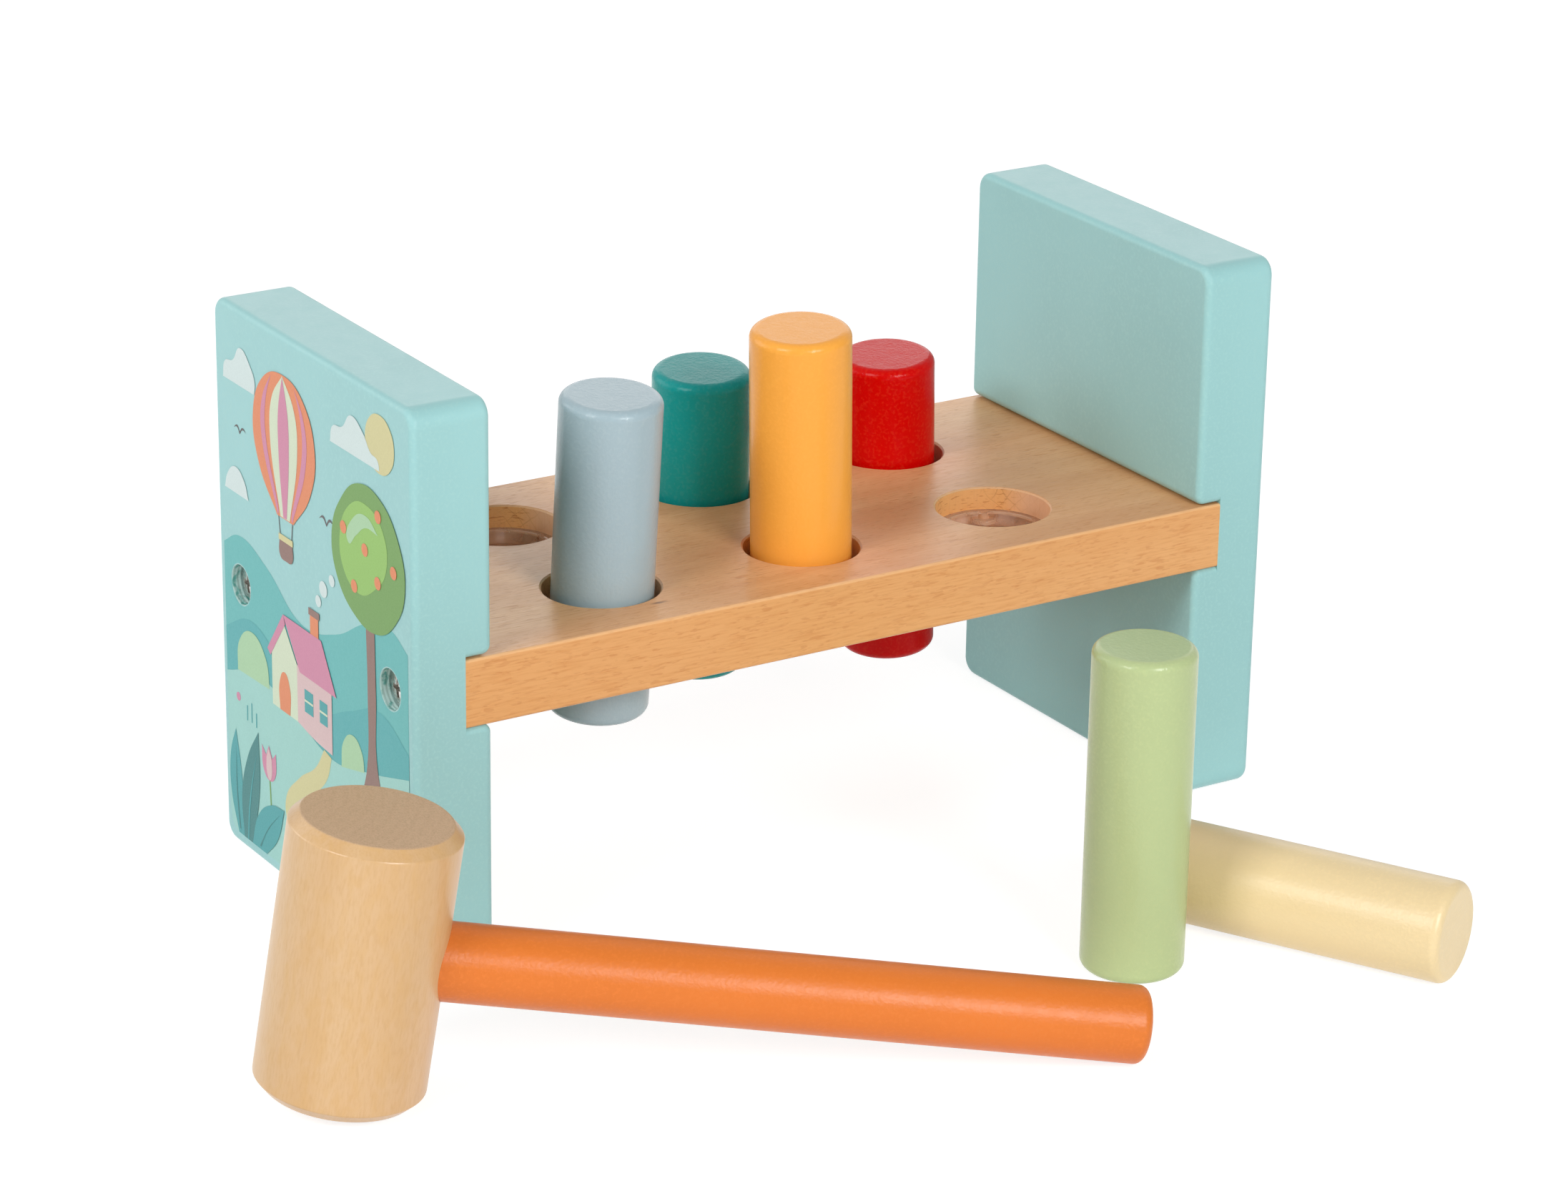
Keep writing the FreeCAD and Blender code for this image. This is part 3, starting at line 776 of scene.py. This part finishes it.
# each shape: ink, layer, points; a point with a third value is a sharp corner
shapes = [
    ("farHillInk", 1, [
        (-42.4, 36, 1), (-42.4, 70, 1), (-35, 73.5), (-22, 70.5), (-6, 63), (10, 66), (25, 73.5), (35, 75.5),
        (42.4, 72.5, 1), (42.4, 36, 1),
    ]),
    ("hillInk", 2, [
        (-42.4, 34, 1), (-42.4, 50.5, 1), (-30, 55.5), (-14, 50), (2, 46), (16, 51), (30, 55.5),
        (42.4, 50.5, 1), (42.4, 34, 1),
    ]),
    ("meadowInk", 3, [
        (-42.4, 7.5, 1), (-42.4, 40, 1), (-28, 44), (-10, 41), (8, 37), (24, 40), (42.4, 45, 1),
        (42.4, 7.5, 1), (41.2, 4), (38, 2.8, 1), (-38, 2.8, 1), (-41.2, 4),
    ]),
    ("sandInk", 4, [
        (-16, 2.8, 1), (-13, 10), (-15, 19), (-8, 27), (0, 32.5), (4, 37.9, 1), (7.4, 37.1, 1), (5.5, 32),
        (0, 26), (-4, 19), (3, 11), (9, 2.8, 1),
    ]),
    ("bushInk", 4, [(-37, 42, 1), (-36, 49), (-29.5, 53), (-23, 49), (-21.5, 42.6, 1)]),
    ("bushInk", 4, [(12, 37, 1), (13, 43), (17.5, 46), (21.5, 43.5), (22.5, 39.4, 1)]),
    ("creamInk", 5, [(-20, 40, 1), (-20, 53, 1), (-14, 60.5, 1), (-8, 53, 1), (-8, 40, 1)]),
    ("blushInk", 5, [(-8, 40, 1), (-8, 53, 1), (8, 53, 1), (8, 38, 1), (0, 38.6)]),
    ("orangeInk", 5, [(-1.4, 59, 1), (-1.4, 67.4, 1), (2.4, 67.4, 1), (2.4, 59, 1)]),
    ("barkInk", 6, [(-2, 66.6, 1), (-2, 68.2, 1), (3, 68.2, 1), (3, 66.6, 1)]),
    ("pinkInk", 6, [(-14.2, 62.4, 1), (3.6, 62.4, 1), (10.2, 51.8, 1), (-6.6, 51.8, 1)]),
    ("pinkInk", 6, [(-14.2, 62.4, 1), (-22, 52.2, 1), (-20.6, 51, 1), (-13.2, 60.4, 1)]),
    ("orangeInk", 6, [(-16.4, 40, 1), (-16.4, 46.4), (-14, 49.2), (-11.6, 46.4), (-11.6, 40, 1)]),
    ("leafInk", 6, [(-4.6, 43.6, 1), (-4.6, 48.8, 1), (-0.6, 48.8, 1), (-0.6, 43.6, 1)]),
    ("leafInk", 6, [(2.4, 43.6, 1), (2.4, 48.8, 1), (6, 48.8, 1), (6, 43.6, 1)]),
    ("creamInk", 7, [(-4.6, 46, 1), (-4.6, 46.5, 1), (-0.6, 46.5, 1), (-0.6, 46, 1)]),
    ("creamInk", 7, [(2.4, 46, 1), (2.4, 46.5, 1), (6, 46.5, 1), (6, 46, 1)]),
    ("barkInk", 5, [
        (20.5, 32.5, 1), (23.8, 41), (24.6, 58), (24.2, 74, 1), (28, 74, 1), (28.3, 58), (28.6, 42),
        (32.5, 33.5, 1), (26, 34.6),
    ]),
    ("grassInk", 6, [
        (11.5, 80), (9.6, 89), (14, 97.5), (21.5, 103), (31, 102.6), (39, 96), (41.8, 86), (37, 77),
        (29.5, 72.6), (20, 73.4),
    ]),
    ("limeInk", 7, [
        (14.6, 82.5), (13.4, 90), (17.6, 97), (25, 99.5), (32.5, 96), (34, 88.5), (28.5, 82), (21, 79),
    ]),
    ("bushInk", 8, [(17, 89), (19.6, 95), (25.6, 97), (30.4, 94.4, 1), (25, 94.4), (20.6, 91.4)]),
    ("cloudInk", 4, [
        (-40.5, 108, 1), (-39.6, 111.6), (-35.6, 113), (-32, 116.6), (-27.4, 114), (-25.2, 110.8),
        (-25.6, 108, 1),
    ]),
    ("sandInk", 4, [
        (31.5, 120.6), (27.1, 118.8), (25.2, 114.3), (27.1, 109.9), (31.5, 108), (36, 109.9), (37.8, 114.3),
        (36, 118.8),
    ]),
    ("cloudInk", 5, [
        (9.5, 108.5, 1), (10.6, 112), (15, 113.2), (19, 116.8), (24.4, 114.6), (27.6, 111.4), (30.6, 110.6),
        (31.4, 108.5, 1),
    ]),
    ("cloudInk", 4, [(-41, 83, 1), (-39.6, 86.4), (-35.6, 89), (-31.6, 87), (-29.6, 83, 1)]),
    ("orangeInk", 5, [
        (-12, 116.4), (-21.4, 113.2), (-26.4, 103.6), (-24, 93.4), (-15.8, 84.4, 1), (-8.2, 84.4, 1),
        (0, 93.4), (2.4, 103.6), (-2.6, 113.2),
    ]),
    ("creamInk", 6, [
        (-12, 116.2, 1), (-17.2, 110), (-18.4, 101.5), (-14.2, 84.6, 1), (-9.8, 84.6, 1), (-5.6, 101.5),
        (-6.8, 110),
    ]),
    ("pinkInk", 7, [
        (-12, 116, 1), (-14.2, 108), (-14.4, 99), (-12.8, 84.7, 1), (-11.2, 84.7, 1), (-9.6, 99), (-9.8, 108),
    ]),
    ("pinkInk", 6, [
        (-17.4, 115, 1), (-21.6, 109), (-22.6, 101.4), (-15.4, 84.6, 1), (-15, 85.6), (-20.6, 101.8),
        (-20, 109),
    ]),
    ("pinkInk", 6, [
        (-6.6, 115, 1), (-4, 109), (-3.4, 101.8), (-9, 85.6), (-8.6, 84.6, 1), (-1.4, 101.4), (-2.4, 109),
    ]),
    ("barkInk", 5, [(-14.8, 75.6), (-15, 79.8, 1), (-9, 79.8, 1), (-9.2, 75.6), (-12, 75)]),
    ("sandInk", 6, [(-15.3, 79.2, 1), (-15.3, 80.6, 1), (-8.7, 80.6, 1), (-8.7, 79.2, 1)]),
    ("slateInk", 4, [(-15.4, 84.6, 1), (-14.8, 80.2, 1), (-14.5, 80.2, 1), (-15.1, 84.6, 1)]),
    ("slateInk", 4, [(-8.6, 84.6, 1), (-9.2, 80.2, 1), (-9.5, 80.2, 1), (-8.9, 84.6, 1)]),
    ("leafInk", 5, [
        (-38.4, 2.9, 1), (-41.8, 12), (-41.6, 21), (-38.8, 27.5, 1), (-36.4, 18), (-35.4, 8), (-35, 2.9, 1),
    ]),
    ("darkLeafInk", 6, [
        (-35.6, 2.9, 1), (-36.4, 13), (-33, 23), (-27.6, 30.5, 1), (-27.4, 18), (-29.6, 8), (-31, 2.9, 1),
    ]),
    ("leafInk", 7, [
        (-31.6, 2.9, 1), (-28.6, 10.5), (-22, 15.4), (-15.6, 16.4, 1), (-19, 8.4), (-24.6, 2.9, 1),
    ]),
    ("leafInk", 7, [(-33.4, 3, 1), (-32.2, 12), (-28.4, 26, 1), (-32.8, 12), (-34, 3, 1)]),
    ("darkLeafInk", 6, [(-38, 4, 1), (-39, 12), (-38.8, 24, 1), (-38.5, 12), (-37.4, 4, 1)]),
    ("darkLeafInk", 8, [(-27.4, 3.6, 1), (-24, 8.6), (-17.6, 14.8, 1), (-23.6, 9.4), (-28, 3.6, 1)]),
    ("grassInk", 4, [(-22.4, 14, 1), (-22.8, 22, 1), (-22.2, 22, 1), (-21.8, 14, 1)]),
    ("pinkInk", 5, [
        (-25.2, 22.6), (-26, 28.4, 1), (-24, 26.6, 1), (-22.6, 29.2, 1), (-21, 26.6, 1), (-19.2, 28.4, 1),
        (-19.8, 22.6), (-22.4, 21),
    ]),
    ("blushInk", 6, [
        (-23.6, 22.4), (-23.8, 26.2, 1), (-22.6, 28.6, 1), (-21.2, 26.2, 1), (-21.4, 22.4), (-22.4, 21.2),
    ]),
    ("limeInk", 4, [
        (29, 2.9, 1), (26, 9.4), (20, 14.6), (14.6, 16.4, 1), (23.4, 16), (31, 11.4), (36.4, 2.9, 1),
    ]),
    ("grassInk", 5, [
        (35.4, 2.9, 1), (34.6, 12), (37, 21), (41, 26.6, 1), (42.2, 16), (42.1, 7), (41, 4), (38, 2.9, 1),
    ]),
    ("limeInk", 6, [(38, 3.4, 1), (37.4, 12), (40.4, 23.6, 1), (38, 12), (38.6, 3.4, 1)]),
    ("grassInk", 5, [(30.6, 3.4, 1), (26.4, 10.4), (17.2, 15.6, 1), (27, 11), (31.4, 3.4, 1)]),
    ("orangeInk", 4, [(23.6, 20.4), (20.8, 23.6), (22.6, 27.2), (26.6, 27.6), (29.2, 24.6), (27.8, 21)]),
    ("sandInk", 5, [(24.8, 22.6), (23.6, 24.4), (25, 26), (27, 25), (26.6, 23)]),
    ("grassInk", 3.5, [(25.4, 14, 1), (24.9, 21, 1), (25.5, 21, 1), (26, 14, 1)]),
    ("leafInk", 4, [(-33, 35, 1), (-33.1, 31.4, 1), (-32.6, 31.4, 1), (-32.5, 35, 1)]),
    ("leafInk", 4, [(-30.8, 36.2, 1), (-30.9, 31.6, 1), (-30.4, 31.6, 1), (-30.3, 36.2, 1)]),
    ("leafInk", 4, [(-28.6, 34.6, 1), (-28.7, 31.2, 1), (-28.2, 31.2, 1), (-28.1, 34.6, 1)]),
    ("leafInk", 4, [(12.8, 29.6, 1), (12.7, 26, 1), (13.2, 26, 1), (13.3, 29.6, 1)]),
    ("leafInk", 4, [(15, 30.8, 1), (14.9, 26.2, 1), (15.4, 26.2, 1), (15.5, 30.8, 1)]),
    ("slateInk", 2, [
        (3.6, 89.8, 1), (5.6, 90.9), (7, 89.6, 1), (8.6, 91), (10.4, 90, 1), (8.6, 90.4), (7, 88.9, 1),
        (5.4, 90.3),
    ]),
    ("slateInk", 2, [
        (-36, 97.8, 1), (-34.4, 98.8), (-33.2, 97.6, 1), (-31.8, 98.8), (-30.2, 98, 1), (-31.8, 98.3),
        (-33.2, 97, 1), (-34.5, 98.3),
    ]),
]
dots = [  # ink, layer, across, up, diameter
    ("orangeInk", 9, 19.5, 80, 2.8), ("orangeInk", 9, 30, 84, 2.8), ("orangeInk", 9, 37, 88.5, 2.8),
    ("orangeInk", 9, 24.5, 89.5, 2.8), ("orangeInk", 9, 30.5, 98.5, 2.8), ("orangeInk", 9, 15, 91.5, 2.8),
    ("cloudInk", 4, 2.6, 71, 2.6), ("cloudInk", 4, 5, 74.4, 3.6), ("cloudInk", 4, 9, 77.6, 2.6),
    ("pinkInk", 4, -37, 35.6, 2), ("pinkInk", 4, 34.6, 36, 2), ("sandInk", 4, 37.4, 33.4, 2),
    ("orangeInk", 4, 31, 31, 2), ("creamInk", 4, 10, 14, 1.8), ("pinkInk", 4, 12.6, 10.6, 1.8),
    ("orangeInk", 4, 15.4, 7.4, 1.8),
]


def inkMaterial(name, screen):
    material, tree, shader = newMaterial(name, {})
    look = {**picture, "tones": {"ink": screen}}
    tones, noise, masks = layersOf(tree, piecePlace(tree, middleOf("left_panel")), look)
    tone = mixColour(tree, masks["dotted"], tones["ink"], scaled(tones["ink"], picture["darkening"]))
    rough = rangeOf(tree, noise["dotted"], *picture["roughness"])
    wire(tree, shader, tone, rough, bumpOf(tree, noise["grain"], paint["grainDepth"]))
    return material


def sinkOutline(across, up):
    radius, count = picture["sinkRadius"], picture["sinkPoints"]
    turns = [2 * math.pi * i / count for i in range(count)]
    return [(across + radius * math.cos(t), up + radius * math.sin(t)) for t in turns]


def filledShape(points, sinks):
    curve = bpy.data.curves.new("outline", "CURVE")
    curve.dimensions = "2D"
    curve.fill_mode = "FRONT"
    curve.resolution_u = picture["curveSteps"]
    for outline in [points] + [sinkOutline(*sink) for sink in sinks]:
        spline = curve.splines.new("BEZIER")
        spline.use_cyclic_u = True
        spline.bezier_points.add(len(outline) - 1)
        for point, spot in zip(spline.bezier_points, outline):
            point.co = (spot[0] * mm, spot[1] * mm, 0)
            kind = "VECTOR" if len(spot) > 2 else "AUTO"
            point.handle_left_type = point.handle_right_type = kind
    holder = bpy.data.objects.new("outline", curve)
    scene.collection.objects.link(holder)
    flat = bpy.data.meshes.new_from_object(holder.evaluated_get(bpy.context.evaluated_depsgraph_get()))
    bpy.data.objects.remove(holder)
    return flat


def ink(verts, index):  # gives the faces their ink, and turns those that look down
    for face in {face for vert in verts for face in vert.link_faces}:
        face.material_index = index
        face.normal_update()
        if face.normal.z < 0:
            face.normal_flip()


def printPicture():
    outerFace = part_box("left_panel")[0].x
    facing = Matrix(((0, 0, -1, outerFace), (-1, 0, 0, boardMiddle.y), (0, 1, 0, 0), (0, 0, 0, 1)))
    names = list(picture["inks"])
    bm = bmesh.new()
    for name, layer, points in shapes:
        before = len(bm.verts)
        bm.from_mesh(filledShape(points, picture["sinks"] if name == "farHillInk" else []))
        bm.verts.ensure_lookup_table()
        fresh = bm.verts[before:]
        bmesh.ops.translate(bm, verts=fresh, vec=(0, 0, layer * picture["step"]))
        ink(fresh, names.index(name))
    for name, layer, across, up, diameter in dots:
        radius = diameter * mm / 2
        disc = bmesh.ops.create_circle(bm, cap_ends=True, radius=radius, segments=picture["dotSteps"])["verts"]
        bmesh.ops.translate(bm, verts=disc, vec=(across * mm, up * mm, layer * picture["step"]))
        ink(disc, names.index(name))
    bmesh.ops.transform(bm, matrix=facing, verts=bm.verts)
    bmesh.ops.triangulate(bm, faces=bm.faces)
    piece = finish("printedPicture", bm, *(inkMaterial(name, picture["inks"][name]) for name in names))
    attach(piece, "bench")


printPicture()
print("picture printed")


# floor, lamps, world and camera

studio = {
    "floorRadius": 4,
    "floorSteps": 64,
    "paper": 0.94,             # the floor as the bench sees it
    "seenPaper": 0.42,         # and as the camera does, with a glow on top
    "seenGlow": 0.8,
    "world": 0.24,
    "frontShine": 0.3,         # what shiny faces see on the side of the lamps, against 1 behind the bench
    "shineSpan": (-0.3, 0.4),  # along Y, from the one to the other
    "aim": (0, 0.03, 0.06),
    "lamps": [  # name, place, width, height, watts
        ("rightLamp", (0, -1.25, 0.72), 0.5, 0.5, 10.8),
        ("leftLamp", (-1.65, -0.45, 1.27), 0.75, 0.75, 15.6),
        ("backLamp", (0.75, 1.2, 0.6), 1.3, 0.6, 2.5),
        ("backLeftLamp", (-0.9, 0.9, 0.5), 0.9, 0.7, 4.3),
    ],
}
view = {
    "place": (-0.505353, -0.803606, 0.438590),
    "heading": 32.2378,   # degrees from straight along +Y towards +X
    "down": 21.0291,
    "roll": 0.9294,
    "lens": 112.316,
    "sensor": 36,
    "clipStart": 0.05,
}


def grey(value):
    return (value, value, value, 1)


def directlySeen(tree, rays):  # by the camera, or in what is shiny or clear
    mirrored = mathOf(tree, "MAXIMUM", rays["Is Glossy Ray"], rays["Is Transmission Ray"])
    return mathOf(tree, "MAXIMUM", rays["Is Camera Ray"], mirrored)


def studioFloor():
    bm = bmesh.new()
    bmesh.ops.create_circle(bm, cap_ends=True, radius=studio["floorRadius"], segments=studio["floorSteps"])
    material = bpy.data.materials.new("floorPaper")
    material.use_nodes = True
    tree = material.node_tree
    tree.nodes.clear()
    seen = directlySeen(tree, addNode(tree, "ShaderNodeLightPath").outputs)
    paper = addNode(tree, "ShaderNodeBsdfDiffuse", {"Color": grey(studio["paper"])})
    tinted = addNode(tree, "ShaderNodeBsdfDiffuse", {"Color": grey(studio["seenPaper"])})
    glow = addNode(tree, "ShaderNodeEmission", {"Color": white, "Strength": studio["seenGlow"]})
    lit = addNode(tree, "ShaderNodeAddShader", {0: tinted.outputs[0], 1: glow.outputs[0]})
    mixed = addNode(tree, "ShaderNodeMixShader", {0: seen, 1: paper.outputs[0], 2: lit.outputs[0]})
    addNode(tree, "ShaderNodeOutputMaterial", {"Surface": mixed.outputs[0]})
    finish("studioFloor", bm, material)


def studioWorld():
    world = bpy.data.worlds.new("studioWorld")
    world.use_nodes = True
    scene.world = world
    tree = world.node_tree
    tree.nodes.clear()
    rays = addNode(tree, "ShaderNodeLightPath").outputs
    direction = split(tree, addNode(tree, "ShaderNodeTexCoord").outputs["Generated"])
    shine = rangeOf(tree, direction["Y"], *studio["shineSpan"], studio["frontShine"], 1)
    shine = mixValue(tree, rays["Is Glossy Ray"], 1, shine)
    lighting = addNode(tree, "ShaderNodeBackground", {"Color": white, "Strength": studio["world"]})
    backdrop = addNode(tree, "ShaderNodeBackground", {"Color": white, "Strength": shine})
    inputs = {0: directlySeen(tree, rays), 1: lighting.outputs[0], 2: backdrop.outputs[0]}
    mixed = addNode(tree, "ShaderNodeMixShader", inputs)
    addNode(tree, "ShaderNodeOutputWorld", {"Surface": mixed.outputs[0]})


def studioLamps():
    for name, place, width, height, watts in studio["lamps"]:
        lamp = bpy.data.lights.new(name, "AREA")
        lamp.shape = "RECTANGLE"
        lamp.size, lamp.size_y, lamp.energy = width, height, watts
        holder = bpy.data.objects.new(name, lamp)
        holder.location = place
        holder.rotation_euler = (Vector(studio["aim"]) - Vector(place)).to_track_quat("-Z", "Y").to_euler()
        scene.collection.objects.link(holder)


def studioCamera():
    camera = bpy.data.cameras.new("camera")
    camera.sensor_fit = "HORIZONTAL"
    camera.sensor_width = view["sensor"]
    camera.lens = view["lens"]
    camera.clip_start = view["clipStart"]
    holder = bpy.data.objects.new("camera", camera)
    holder.matrix_world = (
        Matrix.Translation(view["place"])
        @ Matrix.Rotation(math.radians(-view["heading"]), 4, "Z")
        @ Matrix.Rotation(math.radians(90 - view["down"]), 4, "X")
        @ Matrix.Rotation(math.radians(view["roll"]), 4, "Z")
    )
    scene.collection.objects.link(holder)
    scene.camera = holder


studioFloor()
studioWorld()
studioLamps()
studioCamera()
scene.view_settings.view_transform = "Standard"
print("studio ready")
